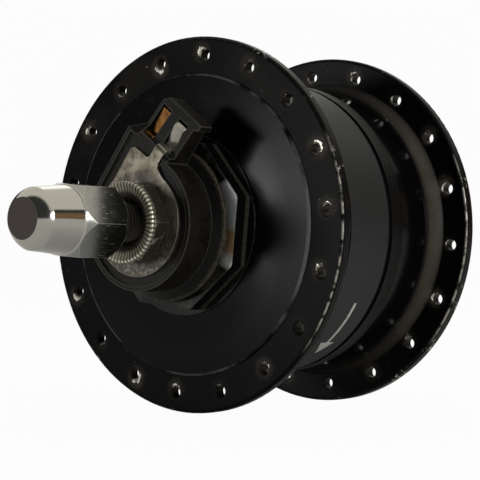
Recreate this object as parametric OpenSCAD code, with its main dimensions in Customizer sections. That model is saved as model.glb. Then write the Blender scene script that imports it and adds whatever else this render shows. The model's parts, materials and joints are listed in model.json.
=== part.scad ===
// Front hub dynamo: a claw-pole generator in a spoked hub, on a nutted axle.
// The axle lies along Y with the connector side at -Y, Z is up, and the origin is the middle of the axle.
// Sizes along the axle are given outwards from the middle between the flanges, on either side.

/* [Hub shell] */
// Thickness of a spoke flange
flange_t = 3.2; // [2.8:0.1:3.8]
// Rounding of the flange rims
flange_edge = 0.8; // [0.4:0.1:1.2]
// Pitch circle of the spoke holes
spoke_pcd = 80; // [79.5:0.1:81.5]
// Distance from that circle to the flange's rim
spoke_margin = 4.5; // [3.5:0.1:8]
// Number of spoke holes in each flange
spoke_count = 18; // [10:1:24]
// Diameter of a spoke hole
spoke_hole_d = 2.6; // [2.2:0.1:3]
// Depth of the countersink at both mouths of a spoke hole
spoke_sink = 0.4; // [0.2:0.1:0.6]
// Turn of the connector-side spoke holes from straight up
spoke_turn = 6.5; // [0:0.5:19.5]
// Outer diameter of the drum
drum_d = 72; // [71.6:0.1:73]
// Wall of the drum
drum_wall = 2.4; // [2:0.1:2.6]
// Length along the axle of the flare between drum and flange
flare_len = 5; // [3:0.5:7]
// How far that flare rises to the flange
flare_rise = 1.7; // [1:0.1:1.9]
// Width of the printed band
band_w = 15.3; // [8:0.1:18]
// Middle of the printed band, towards the connector side
band_mid = 4.7; // [0:0.1:6]
// Width of the two grooves beside the band
band_groove_w = 1.6; // [0.8:0.1:2]
// Depth of those grooves
band_groove_depth = 0.5; // [0.2:0.1:0.8]
// Width of the plain shoulder beyond the left groove
shoulder_w = 4.4; // [2:0.1:6]
// Step down from that shoulder to the rest of the drum
shoulder_step = 0.25; // [0.1:0.05:0.4]

/* [End walls] */
// Diameter of the end cover
cover_d = 71.4; // [71:0.1:71.8]
// Depth of the seat that the end cover is let into
cover_seat_depth = 3; // [2:0.1:4]
// Height of the cover's rim above the flange
cover_rim_h = 0.7; // [0.4:0.1:1.2]
// Chamfer on the cover's rim
cover_chamfer = 0.5; // [0.2:0.1:0.7]
// Rise of the dome from its rim to its middle
dome_rise = 0.9; // [0.5:0.1:1.6]
// Thickness of the end walls
end_wall = 2.6; // [2:0.1:3]
// Length of the cover's spigot in the drum
spigot_len = 2.6; // [1.5:0.1:4]
// Outer diameter of the bearing boss on the plain side
left_boss_d = 35; // [33:0.5:38]

/* [Octagon bearing cup] */
// Width across the flats of the octagon
octagon_af = 38.4; // [37:0.1:40]
// Height of the octagon
octagon_h = 4.5; // [3.5:0.1:5]
// Turn of the octagon
octagon_turn = 16.5; // [0:0.5:44.5]
// Diameter of the round shoulder under the octagon
octagon_shoulder_d = 42.8; // [42.4:0.1:45]
// Thickness of that shoulder
octagon_shoulder_t = 0.5; // [0.4:0.1:1]
// Diameter of the cup's shank in the cover
cup_shank_d = 36; // [34:0.5:37]

/* [Bearings] */
// Bore of a bearing
bearing_bore = 15; // [14:0.5:16]
// Outer diameter of a bearing
bearing_od = 28; // [27:0.5:29]
// Width of a bearing
bearing_w = 7; // [6:0.5:8]
// Diameter of a ball
ball_d = 3.97; // [3.5:0.01:4.2]
// Number of balls in a bearing
ball_count = 11; // [9:1:11]
// Running clearance between ball and race
ball_clear = 0.05; // [0.03:0.01:0.08]
// Thickness of the lip that closes the bearing's seat
lip_t = 0.7; // [0.5:0.1:1]
// Gap between that lip and the fixed ring inside it
lip_gap = 0.8; // [0.4:0.1:1.2]

/* [Axle] */
// Shift of the flanges' middle away from the connector
hub_shift = 1; // [0:0.1:1.5]
// Overall length of the axle
axle_len = 140; // [132:1:150]
// Diameter of the threaded ends
thread_d = 9; // [8.5:0.1:9.5]
// Diameter of the plain middle
axle_mid_d = 10; // [9.8:0.1:10.5]
// Width of the fork-end seat between the locknut and the cap nut
fork_gap = 6; // [5.8:0.1:8]
// Width of the relief groove at both ends of that seat
relief_w = 0.6; // [0.6:0.05:0.8]
// Depth of the relief groove
relief_depth = 0.4; // [0.2:0.1:0.6]
// Width over the faces that the fork ends clamp on
old_width = 100; // [99:0.5:102]
// Slip fit of the pieces on the axle's plain middle
axle_fit = 0.03; // [0.02:0.01:0.05]
// Clearance of the nuts on the thread
nut_fit = 0.05; // [0.03:0.01:0.08]

/* [Locknuts] */
// Width across the flats of a locknut
locknut_af = 17; // [16:0.5:18]
// Height of the hexagon part
locknut_hex_h = 3.9; // [3:0.1:4.5]
// Height of the round part with the gripping face
grip_h = 1.3; // [1.2:0.1:1.6]
// Diameter of that round part
grip_d = 18.6; // [18:0.1:19]
// Turn of the locknut
locknut_turn = 58; // [0:1:59]

/* [Cap nuts] */
// Width across the flats of a cap nut
nut_af = 15.6; // [15.6:0.1:17]
// Overall length of a cap nut
nut_len = 24.4; // [22:0.1:28]
// Length of its hexagon
nut_hex_len = 13.1; // [10:0.1:14]
// Diameter of the round nose
nut_nose_d = 15.2; // [14.4:0.1:15.2]
// How much the nose tapers in diameter towards its end
nut_taper = 2; // [1:0.1:2.4]
// Radius of the nose's rounded end
nut_round = 7.6; // [7.4:0.1:8.4]
// Diameter of the flat at that end
nut_flat_d = 9; // [8:0.1:9.6]
// Room in the threaded bore beyond the axle's end
bore_spare = 1; // [0.5:0.1:3]
// Turn of the cap nuts
nut_turn = 54; // [0:1:59]

/* [Dust rings and collars] */
// Outer diameter of a dust ring
dust_d = 36.2; // [35:0.1:38]
// Thickness of a dust ring's edge
dust_edge = 1.1; // [0.8:0.1:1.4]
// Height of a dust ring's disc
dust_h = 2.8; // [2.2:0.1:3.2]
// Gap between a dust ring and the turning part behind it
dust_gap = 1; // [0.5:0.1:1.5]
// Diameter of the connector's collar
collar_d = 31.4; // [30.4:0.1:32]
// Diameter of the plain collar on the left
left_collar_d = 22; // [20:0.5:26]

/* [Connector] */
// Direction of the connector from straight up
connector_angle = 37.5; // [0:0.5:90]
// Sideways shift of the tower from the hub's axis
tower_shift = 7.1; // [6.8:0.1:7.4]
// Width of the tower
tower_w = 11.8; // [11.4:0.1:12.4]
// Height of the tower's top above the hub's axis
tower_top = 26.7; // [25.7:0.1:30]
// Corner cut of the tower's top
tower_corner = 1.3; // [1:0.1:3]
// Wall at the tower's top
tower_top_wall = 2; // [1.2:0.1:2.4]
// Overhang of the tower's top lip
tower_lip = 1.2; // [0.5:0.1:2.5]
// Drop of the tower's rim from the collar to the top
tower_slope = 1.1; // [0.5:0.1:1.2]
// Depth of the tower along the axle
tower_depth = 4.9; // [4:0.1:5.2]
// Gap between the tower's back and the dust ring's top
tower_gap = 0.6; // [0.3:0.1:1.2]
// Depth of the terminal channels
channel_depth = 1.8; // [1.5:0.1:2]
// Step from the collar's face down to the tower's face
tower_step = 2.25; // [2:0.05:2.6]
// Height of the platform's step above the hub's axis
step_r = 16.9; // [16.4:0.1:17.4]
// Height of the straight shoulder beside the tower
shoulder_h = 15.9; // [14:0.1:16.2]
// Depth of the pocket that holds the earth plate
pocket_depth = 0.8; // [0.5:0.1:0.9]
// Rim around that pocket
pocket_rim = 1.2; // [0.9:0.1:1.6]

/* [Terminals] */
// Sideways shift of the two terminal strips' middle from the hub's axis
terminal_shift = 7.6; // [7.4:0.1:7.8]
// Distance between the two terminal strips
terminal_pitch = 6.1; // [5.8:0.1:6.3]
// Width of the steel terminal
terminal_w = 3.1; // [2.8:0.1:3.2]
// Thickness of the earth plate and its arm
plate_t = 0.85; // [0.7:0.05:0.95]
// Diameter of the earth plate
plate_d = 24.8; // [24:0.1:25.4]
// Width of the copper terminal
copper_w = 2.8; // [2.5:0.1:3]
// Thickness of the moulding over the copper strip
copper_cover = 0.65; // [0.5:0.05:0.7]
// Thickness of the copper strip
copper_t = 0.55; // [0.4:0.05:0.65]
// Inside radius of the strips' bends
bend_r = 0.4; // [0.3:0.05:0.5]
// Side clearance of the strips in their channels
strip_clear = 0.15; // [0.1:0.05:0.2]
// Free end of the strips below the channel's top
strip_short = 0.8; // [0.5:0.1:1.5]

/* [Generator] */
// Number of claws on each claw plate
claw_count = 14; // [8:1:15]
// Outer diameter of the claws
stator_d = 58; // [54:0.5:58.4]
// Thickness of a claw
claw_t = 2.6; // [2:0.1:3]
// Width of a claw at its root
claw_root_w = 5; // [3:0.1:5.2]
// Width of a claw at its tip
claw_tip_w = 3.2; // [2:0.1:4]
// Thickness of the claw plate's disc
claw_plate_t = 2.5; // [2:0.1:3]
// Length of the stator over both discs
stator_len = 28; // [24:0.5:30]
// Diameter of the stator's core
core_d = 19; // [18:0.5:22]
// Wall of the bobbin
bobbin_wall = 1; // [0.8:0.1:1.4]
// Gap around the winding and the bobbin
coil_gap = 0.15; // [0.1:0.05:0.3]
// Air gap between claws and magnets
air_gap = 0.5; // [0.4:0.05:0.7]
// Thickness of the magnets
magnet_t = 2.5; // [2:0.1:2.6]
// Number of magnet segments
magnet_count = 4; // [2:1:8]
// Gap between neighbouring magnet segments, in degrees
magnet_gap = 1; // [0.5:0.5:3]
// Length of the magnets and the yoke ring
magnet_len = 30; // [24:0.5:34]
// Diameter of the insulated lead
lead_d = 1.6; // [1.2:0.1:1.8]

/* [Hidden] */
$fn = 96;
seat_fit = 0.05;
lead_clear = 0.1;
past = 1;
dome_fn = 1440;
chamfer_run = 0.577;
drum_r = drum_d / 2;
drum_ri = drum_r - drum_wall;
flange_r = spoke_pcd / 2 + spoke_margin;
right_face = old_width / 2 + hub_shift;
left_face = old_width / 2 - hub_shift;
locknut_h = locknut_hex_h + grip_h;
locknut_low = right_face - locknut_h;
plate_low = locknut_low - plate_t;
collar_top = plate_low + pocket_depth;
tower_face = collar_top - tower_step;
tower_back = tower_face - tower_depth;
dust_top = tower_back - tower_gap;
dust_low = dust_top - dust_h;
octagon_top = dust_low - dust_gap;
octagon_low = octagon_top - octagon_h;
cup_top = octagon_low - octagon_shoulder_t;
dome_rim = cup_top - dome_rise;
flange_out = dome_rim - cover_rim_h;
flange_in = flange_out - flange_t;
flange_mid = flange_out - flange_t / 2;
flare_r = (flare_len * flare_len + flare_rise * flare_rise) / (2 * flare_rise);
spoke_step = 360 / spoke_count;
cover_r = cover_d / 2;
seat_out = flange_out - cover_seat_depth;
dome_flat_r = octagon_shoulder_d / 2;
dome_reach = cover_r - cover_chamfer;
dome_drop = (dome_reach * dome_reach - dome_flat_r * dome_flat_r) / dome_rise;
dome_mid = dome_rim + dome_rise / 2 - dome_drop / 2;
dome_r = sqrt(dome_reach * dome_reach + (dome_rim - dome_mid) * (dome_rim - dome_mid));
wall_in = flange_out - end_wall;
octagon_r = octagon_af / 2 / cos(22.5);
bearing_r = bearing_od / 2;
bearing_top = octagon_top - lip_t;
bearing_low = bearing_top - bearing_w;
bearing_mid = bearing_top - bearing_w / 2;
cup_low = wall_in - end_wall / 2;
pitch_r = (bearing_bore + bearing_od) / 4;
ball_r = ball_d / 2;
groove_r = ball_r + ball_clear;
land_gap = ball_r * 0.58;
cage_t = ball_r * 0.7;
cage_w = ball_d + cage_t / 2;
ring_r = bearing_bore / 2 + (pitch_r - land_gap - bearing_bore / 2) * 0.9;
lip_r = ring_r + lip_gap;
left_boss_top = octagon_top;
collar_r = collar_d / 2;
left_low = left_face - locknut_h;
left_sleeve_end = left_low - plate_t;
thread_r = thread_d / 2;
axle_mid_r = axle_mid_d / 2;
sleeve_bore_r = axle_mid_r + axle_fit;
sleeve_r = bearing_bore / 2 - axle_fit;
nut_nose_r = nut_nose_d / 2;
axle_reach = (axle_len - old_width) / 2;
nut_bore_depth = axle_reach - fork_gap + bore_spare;
channel_floor = tower_face - channel_depth;
tower_low_x = -tower_shift - tower_w / 2;
tower_high_x = -tower_shift + tower_w / 2;
copper_x = -terminal_shift - terminal_pitch / 2;
steel_x = -terminal_shift + terminal_pitch / 2;
steel_slot = terminal_w + 2 * strip_clear;
copper_slot = copper_w + 2 * strip_clear;
slot_low_x = copper_x - copper_slot / 2;
channel_top = tower_top - tower_top_wall;
bevel_top = step_r + 2;
arm_end = channel_top - strip_short;
leg_in = step_r + seat_fit;
copper_low = plate_low - copper_cover - copper_t;
copper_bend = min(bend_r, (copper_low - channel_floor - copper_t) * 0.45);
stator_r = stator_d / 2;
stator_out = stator_len / 2;
disc_in = stator_out - claw_plate_t;
web_r = stator_r - claw_t - 2;
claw_step = 360 / claw_count;
core_r = core_d / 2;
bobbin_r = web_r;
magnet_ri = stator_r + air_gap;
magnet_ro = magnet_ri + magnet_t;
yoke_ro = drum_ri - seat_fit;
lead_r = lead_d / 2;
groove_bed = axle_mid_r - lead_d - 3 * lead_clear;
lead_axis_r = groove_bed + lead_clear + lead_r;
lead_start = disc_in - bobbin_wall - 2 * lead_d;
lead_level = channel_floor - lead_r - lead_clear;
copper_start = collar_r - 2 * lead_d;
lead_angle = atan2(copper_x, collar_r - lead_d);
lead_reach = norm([copper_x, collar_r - lead_d]);

// Turn outwards-is-up onto the connector side
module right() {
    translate([0, hub_shift, 0]) rotate([90, 0, 0]) children();
}

// Turn outwards-is-up onto the plain side
module left() {
    translate([0, hub_shift, 0]) mirror([0, 1, 0]) rotate([90, 0, 0]) children();
}

// Turn sideways-and-outwards onto the connector's direction
module connector() {
    right() rotate([0, 0, -connector_angle]) children();
}

// Straight tube between two places along the axle
module tube(low, high, inner_r, outer_r) {
    translate([0, 0, low])
        difference() {
            cylinder(h = high - low, r = outer_r);
            translate([0, 0, -past]) cylinder(h = high - low + 2 * past, r = inner_r);
        }
}

// Rectangle in a section, from its low corner to its high corner
module patch(low, high) {
    translate(low) square(high - low);
}

// Quarter of a flat ring that bends a strip, from the given angle on
module bend(centre, inner_r, outer_r, start) {
    translate(centre)
        rotate(start)
            intersection() {
                difference() {
                    circle(r = outer_r);
                    circle(r = inner_r);
                }
                square(outer_r);
            }
}

// Section of one spoke flange with a rounded rim
module flange_section() {
    half = flange_t / 2;
    patch([drum_ri, flange_mid - half], [flange_r - flange_edge, flange_mid + half]);
    patch([drum_ri, flange_mid - half + flange_edge], [flange_r, flange_mid + half - flange_edge]);
    for (side = [-1, 1])
        translate([flange_r - flange_edge, flange_mid + side * (half - flange_edge)])
            circle(r = flange_edge);
}

// Section of the hollow flare that leads from the drum to a flange
module flare_section() {
    difference() {
        patch([drum_ri, flange_in - flare_len], [drum_r + flare_rise, flange_in + past]);
        translate([drum_r + flare_r, flange_in - flare_len]) circle(r = flare_r);
    }
}

// Section of a domed end wall with a rounded rim
module dome_section() {
    intersection() {
        translate([0, dome_mid]) circle(r = dome_r, $fn = dome_fn);
        patch([0, wall_in], [dome_reach, cup_top]);
    }
    patch([drum_ri - drum_wall, wall_in], [cover_r, dome_rim - cover_chamfer]);
    translate([dome_reach, dome_rim - cover_chamfer]) circle(r = cover_chamfer);
}

// Section of the closed left end of the shell, drawn outwards
module left_wall_section() {
    boss_round = lip_t;
    difference() {
        union() {
            dome_section();
            patch([0, cup_low], [left_boss_d / 2 - boss_round, left_boss_top]);
            patch([0, cup_low], [left_boss_d / 2, left_boss_top - boss_round]);
            translate([left_boss_d / 2 - boss_round, left_boss_top - boss_round])
                circle(r = boss_round);
        }
        patch([0, cup_low - past], [bearing_r + seat_fit, bearing_top]);
        patch([0, cup_low], [lip_r, left_boss_top + past]);
    }
}

// Section of the whole shell, with the connector side up
module shell_section() {
    groove_r = drum_r - band_groove_depth;
    band_low = band_mid - band_w / 2;
    band_high = band_mid + band_w / 2;
    shoulder_low = band_low - band_groove_w - shoulder_w;
    difference() {
        union() {
            patch([drum_ri, -flange_mid], [drum_r, flange_mid]);
            flange_section();
            flare_section();
            mirror([0, 1]) {
                flange_section();
                flare_section();
                left_wall_section();
            }
        }
        patch([groove_r, band_high], [drum_r + past, band_high + band_groove_w]);
        patch([groove_r, band_low - band_groove_w], [drum_r + past, band_low]);
        patch([drum_r - shoulder_step, flare_len - flange_in], [drum_r + past, shoulder_low]);
        patch([drum_ri - past, seat_out], [cover_r + seat_fit, flange_out + past]);
    }
}

// Spoke hole with both mouths countersunk
module spoke_hole() {
    hole_r = spoke_hole_d / 2;
    translate([0, 0, flange_in - past]) cylinder(h = flange_t + 2 * past, r = hole_r);
    translate([0, 0, flange_out - spoke_sink])
        cylinder(h = 2 * spoke_sink, r1 = hole_r, r2 = hole_r + 2 * spoke_sink);
    translate([0, 0, flange_in - spoke_sink])
        cylinder(h = 2 * spoke_sink, r1 = hole_r + 2 * spoke_sink, r2 = hole_r);
}

// Ring of spoke holes, turned clockwise from straight up
module spoke_ring(turn) {
    for (i = [0 : spoke_count - 1])
        rotate([0, 0, 90 - turn - i * spoke_step])
            translate([spoke_pcd / 2, 0, 0])
                spoke_hole();
}

// Drum and flanges, closed on the left and open on the connector side
module hub_shell() {
    color([0.07, 0.07, 0.08])
        difference() {
            right() rotate_extrude() shell_section();
            right() spoke_ring(spoke_turn);
            left() spoke_ring(spoke_turn - spoke_step / 2);
        }
}

// Domed cover that closes the connector side
module end_cover() {
    spigot_ri = drum_ri - drum_wall;
    color([0.09, 0.09, 0.1])
        right()
            rotate_extrude()
                difference() {
                    union() {
                        dome_section();
                        patch([0, cup_low], [cup_shank_d / 2 + end_wall, wall_in + past]);
                        patch([spigot_ri, seat_out], [cover_r, wall_in + past]);
                        patch([spigot_ri, seat_out - spigot_len], [drum_ri - seat_fit, seat_out + past]);
                    }
                    patch([0, cup_low - past], [cup_shank_d / 2 + seat_fit, cup_top + 2 * past]);
                }
}

// Bearing cup with an octagon head
module octagon_cup() {
    cone_top = octagon_r - lip_t / 2;
    color([0.12, 0.12, 0.13])
        right()
            difference() {
                union() {
                    translate([0, 0, cup_low]) cylinder(h = cup_top - cup_low, r = cup_shank_d / 2);
                    translate([0, 0, cup_top])
                        cylinder(h = octagon_shoulder_t, r = octagon_shoulder_d / 2);
                    translate([0, 0, octagon_low])
                        intersection() {
                            rotate([0, 0, octagon_turn]) cylinder(h = octagon_h, r = octagon_r, $fn = 8);
                            cylinder(h = octagon_h, r1 = cone_top + octagon_h / chamfer_run, r2 = cone_top);
                        }
                }
                translate([0, 0, cup_low - past])
                    cylinder(h = bearing_top - cup_low + past, r = bearing_r + seat_fit);
                translate([0, 0, cup_low]) cylinder(h = octagon_top - cup_low + past, r = lip_r);
            }
}

// Inner race with its groove
module inner_race() {
    rotate_extrude()
        difference() {
            patch([bearing_bore / 2, bearing_low], [pitch_r - land_gap, bearing_top]);
            translate([pitch_r, bearing_mid]) circle(r = groove_r);
        }
}

// Outer race with its groove
module outer_race() {
    rotate_extrude()
        difference() {
            patch([pitch_r + land_gap, bearing_low], [bearing_r, bearing_top]);
            translate([pitch_r, bearing_mid]) circle(r = groove_r);
        }
}

// Balls of one bearing
module balls() {
    for (i = [0 : ball_count - 1])
        rotate([0, 0, i * 360 / ball_count])
            translate([pitch_r, 0, bearing_mid])
                sphere(r = ball_r);
}

// Cage with a round pocket for each ball
module cage() {
    difference() {
        tube(bearing_mid - cage_w / 2, bearing_mid + cage_w / 2, pitch_r - cage_t / 2, pitch_r + cage_t / 2);
        for (i = [0 : ball_count - 1])
            rotate([0, 0, i * 360 / ball_count])
                translate([pitch_r, 0, bearing_mid])
                    rotate([0, 90, 0])
                        cylinder(h = 2 * cage_t, r = ball_r + ball_clear, center = true);
    }
}

module right_inner_race() {
    color("silver") right() inner_race();
}

module left_inner_race() {
    color("silver") left() inner_race();
}

module right_outer_race() {
    color("silver") right() outer_race();
}

module left_outer_race() {
    color("silver") left() outer_race();
}

module right_balls() {
    color("gainsboro") right() balls();
}

module left_balls() {
    color("gainsboro") left() balls();
}

module right_cage() {
    color([0.55, 0.53, 0.5]) right() cage();
}

module left_cage() {
    color([0.55, 0.53, 0.5]) left() cage();
}

// One half of the axle: plain middle, locknut thread, fork-end seat and cap nut thread
module axle_half(step, face) {
    seat_low = face + relief_w / 6;
    seat_high = face + fork_gap - relief_w;
    relief_r = thread_r - relief_depth;
    end_chamfer = relief_depth * 2;
    thread_end = face + axle_reach;
    cylinder(h = step, r = axle_mid_r);
    cylinder(h = seat_low - relief_w, r = thread_r);
    cylinder(h = thread_end - end_chamfer, r = relief_r);
    translate([0, 0, seat_low]) cylinder(h = seat_high - seat_low, r = thread_r);
    translate([0, 0, face + fork_gap])
        cylinder(h = thread_end - end_chamfer - face - fork_gap, r = thread_r);
    translate([0, 0, thread_end - end_chamfer])
        cylinder(h = end_chamfer, r1 = thread_r, r2 = thread_r - end_chamfer);
}

// Fixed axle with the groove for the lead
module axle() {
    groove_w = lead_d + 2 * lead_clear;
    groove_low = lead_start - groove_w;
    color([0.6, 0.58, 0.54])
        difference() {
            union() {
                right() axle_half(plate_low - axle_fit, right_face);
                left() axle_half(left_sleeve_end - axle_fit, left_face);
            }
            connector()
                rotate([0, 0, -lead_angle])
                    translate([-groove_w / 2, groove_bed, groove_low])
                        cube([groove_w, axle_mid_r, lead_level + groove_w - groove_low]);
        }
}

// Insulated lead: out of the winding, along the axle's groove and up to the live terminal
module lead_wire() {
    winding_end = core_r + bobbin_wall + coil_gap;
    color([0.75, 0.15, 0.1])
        connector()
            rotate([0, 0, -lead_angle]) {
                translate([0, lead_axis_r, lead_start])
                    cylinder(h = lead_level - lead_start, r = lead_r);
                for (z = [lead_start, lead_level])
                    translate([0, lead_axis_r, z]) sphere(r = lead_r);
                translate([0, lead_axis_r, lead_start])
                    rotate([-90, 0, 0])
                        cylinder(h = winding_end - lead_axis_r, r = lead_r);
                translate([0, lead_axis_r, lead_level])
                    rotate([-90, 0, 0])
                        cylinder(h = lead_reach - lead_axis_r, r = lead_r);
                translate([0, lead_reach, lead_level]) sphere(r = lead_r);
                translate([0, lead_reach, lead_level])
                    cylinder(h = copper_low - lead_level, r = lead_r);
            }
}

// Way that the lead takes out of the axle, with clearance
module lead_way() {
    way_r = lead_r + lead_clear;
    connector()
        rotate([0, 0, -lead_angle]) {
            translate([0, 0, lead_start])
                rotate([-90, 0, 0])
                    cylinder(h = core_r + 2 * bobbin_wall, r = way_r);
            translate([0, 0, lead_level]) rotate([-90, 0, 0]) cylinder(h = lead_reach, r = way_r);
            translate([0, lead_reach, lead_level]) sphere(r = way_r);
            translate([0, lead_reach, lead_level]) cylinder(h = copper_low - lead_level, r = way_r);
        }
}

// Sleeve that clamps the stator and carries a bearing
module sleeve(outer_end) {
    tube(stator_out, bearing_low, sleeve_bore_r, ring_r);
    tube(bearing_low - past, outer_end, sleeve_bore_r, sleeve_r);
}

module right_sleeve() {
    color([0.66, 0.65, 0.62])
        difference() {
            right() sleeve(plate_low);
            lead_way();
        }
}

module left_sleeve() {
    color([0.66, 0.65, 0.62]) left() sleeve(left_sleeve_end);
}

// Flared ring that keeps dust off a bearing
module dust_ring() {
    dust_r = dust_d / 2;
    edge_round = dust_edge / 3;
    inner_r = sleeve_r + seat_fit;
    rotate_extrude() {
        patch([inner_r, bearing_top], [ring_r, dust_top]);
        patch([inner_r, dust_low], [dust_r - edge_round, dust_low + dust_edge]);
        patch([inner_r, dust_low + edge_round], [dust_r, dust_low + dust_edge]);
        translate([dust_r - edge_round, dust_low + edge_round]) circle(r = edge_round);
        polygon([
            [inner_r, dust_low + dust_edge], [dust_r, dust_low + dust_edge],
            [collar_r, dust_top], [inner_r, dust_top]
        ]);
    }
}

module right_dust_ring() {
    color([0.13, 0.12, 0.11]) right() dust_ring();
}

module left_dust_ring() {
    color([0.13, 0.12, 0.11]) left() dust_ring();
}

// Plain collar in the connector's place on the left
module left_collar() {
    chamfer = lip_t;
    color([0.1, 0.1, 0.1])
        left()
            rotate_extrude()
                difference() {
                    union() {
                        patch([sleeve_r + seat_fit, dust_top], [left_collar_d / 2, left_low]);
                        patch([thread_r + seat_fit, left_sleeve_end], [left_collar_d / 2, left_low]);
                    }
                    translate([left_collar_d / 2, left_low])
                        rotate(45)
                            square(chamfer * sqrt(2), center = true);
                }
}

// Outline of the moulded collar with its straight, bevelled shoulder
module platform_outline() {
    circle(r = collar_r);
    polygon([
        [-collar_r, 0], [-collar_r, shoulder_h], [tower_low_x, bevel_top], [slot_low_x, bevel_top],
        [slot_low_x, step_r], [tower_high_x, step_r], [tower_high_x, 0]
    ]);
}

// Outline of the pocket for the earth plate, open towards the tower
module pocket_outline() {
    low_x = pocket_rim - collar_r;
    high_x = tower_high_x - pocket_rim;
    circle(r = collar_r - pocket_rim);
    polygon([
        [low_x, 0], [low_x, shoulder_h - pocket_rim / 2], [slot_low_x, shoulder_h - pocket_rim / 6],
        [slot_low_x, bevel_top + past], [high_x, bevel_top + past], [high_x, 0]
    ]);
}

// Outline of the tower with its overhanging lip
module tower_outline() {
    lip_x = tower_high_x + tower_lip;
    polygon([
        [tower_low_x, 0], [tower_low_x, tower_top - tower_corner], [tower_low_x + tower_corner, tower_top],
        [lip_x, tower_top], [lip_x, channel_top + tower_top_wall / 3],
        [tower_high_x, channel_top], [tower_high_x, 0]
    ]);
}

// Moulded collar and tower that the cable plug slides onto
module connector_body() {
    slot_low = copper_low - seat_fit;
    color([0.06, 0.06, 0.06])
        difference() {
            connector()
                difference() {
                    union() {
                        translate([0, 0, dust_top]) cylinder(h = collar_top - dust_top, r = collar_r);
                        translate([0, 0, tower_back])
                            linear_extrude(collar_top - tower_back) platform_outline();
                        translate([0, 0, tower_back]) linear_extrude(tower_depth) tower_outline();
                    }
                    rim_slope();
                    translate([0, 0, plate_low]) linear_extrude(pocket_depth + past) pocket_outline();
                    translate([steel_x - steel_slot / 2, step_r, channel_floor])
                        cube([steel_slot, channel_top - step_r, collar_top]);
                    translate([slot_low_x, step_r, channel_floor])
                        cube([copper_slot, channel_top - step_r, collar_top]);
                    translate([steel_x - steel_slot / 2, step_r - bend_r, plate_low - bend_r])
                        cube([steel_slot, bend_r + past, bend_r + past]);
                    translate([slot_low_x, copper_start - seat_fit, slot_low])
                        cube([copper_slot, step_r - copper_start + past, copper_t + 2 * seat_fit]);
                    translate([0, 0, dust_top - past]) cylinder(h = collar_top, r = sleeve_r + seat_fit);
                }
            lead_way();
        }
}

// Room over the tower, where its rim falls away from the collar's face
module rim_slope() {
    translate([-2 * collar_r, 0, 0])
        rotate([90, 0, 90])
            linear_extrude(4 * collar_r)
                polygon([
                    [shoulder_h, collar_top], [bevel_top, tower_face], [tower_top, tower_face - tower_slope],
                    [2 * tower_top, tower_face - tower_slope], [2 * tower_top, collar_top + past],
                    [shoulder_h, collar_top + past]
                ]);
}

// Outline of the earth plate: a washer with a wing and the root of the terminal arm
module plate_outline() {
    plate_r = plate_d / 2;
    wing_x = plate_t / 2 - plate_r;
    wing_top = plate_r + plate_t;
    neck_low = steel_x - terminal_w / 2;
    neck_high = steel_x + terminal_w / 2;
    neck_end = leg_in - bend_r;
    circle(r = plate_r);
    polygon([
        [wing_x, 0], [wing_x, wing_top - plate_t], [wing_x + plate_t, wing_top],
        [neck_low - plate_t, wing_top + plate_t / 4], [neck_low, wing_top + plate_t],
        [neck_low, neck_end], [neck_high, neck_end],
        [neck_high, wing_top + plate_t], [neck_high + plate_t / 2, wing_top], [0, plate_r], [0, 0]
    ]);
}

// Side view of the steel arm: over the step, along the channel and up at its end
module arm_section() {
    outer = bend_r + plate_t;
    first = [leg_in - bend_r, plate_low - bend_r];
    second = [leg_in + outer, channel_floor + outer];
    ridge = [arm_end - plate_t, channel_floor + channel_depth];
    patch([first[0] - plate_t, plate_low], [first[0], plate_low + plate_t]);
    bend(first, bend_r, outer, 0);
    patch([leg_in, second[1]], [leg_in + plate_t, first[1]]);
    bend(second, bend_r, outer, 180);
    polygon([
        [second[0], channel_floor], [ridge[0], ridge[1] - plate_t],
        [arm_end - plate_t / 2, channel_floor + plate_t / 3],
        [arm_end, channel_floor + plate_t], [ridge[0], ridge[1]], [second[0], channel_floor + plate_t]
    ]);
}

// Earth plate with its terminal arm, bent from one sheet
module earth_plate() {
    color([0.62, 0.58, 0.52])
        connector() {
            difference() {
                translate([0, 0, plate_low]) linear_extrude(plate_t) plate_outline();
                translate([0, 0, plate_low - past])
                    cylinder(h = plate_t + 2 * past, r = thread_r + seat_fit);
            }
            translate([steel_x - terminal_w / 2, 0, 0])
                rotate([90, 0, 90])
                    linear_extrude(terminal_w) arm_section();
        }
}

// Side view of the copper strip: out of the moulding and down to the channel's floor
module copper_section() {
    outer = copper_bend + copper_t;
    leg = step_r + 4 * seat_fit;
    first = [leg - copper_bend, copper_low - copper_bend];
    second = [leg + outer, channel_floor + outer];
    patch([copper_start, copper_low], [first[0], copper_low + copper_t]);
    bend(first, copper_bend, outer, 0);
    patch([leg, second[1]], [leg + copper_t, first[1]]);
    bend(second, copper_bend, outer, 180);
    patch([second[0], channel_floor], [arm_end, channel_floor + copper_t]);
}

// Copper strip that carries the live side of the winding
module live_terminal() {
    color([0.72, 0.45, 0.22])
        connector()
            translate([copper_x - copper_w / 2, 0, 0])
                rotate([90, 0, 90])
                    linear_extrude(copper_w) copper_section();
}

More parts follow.
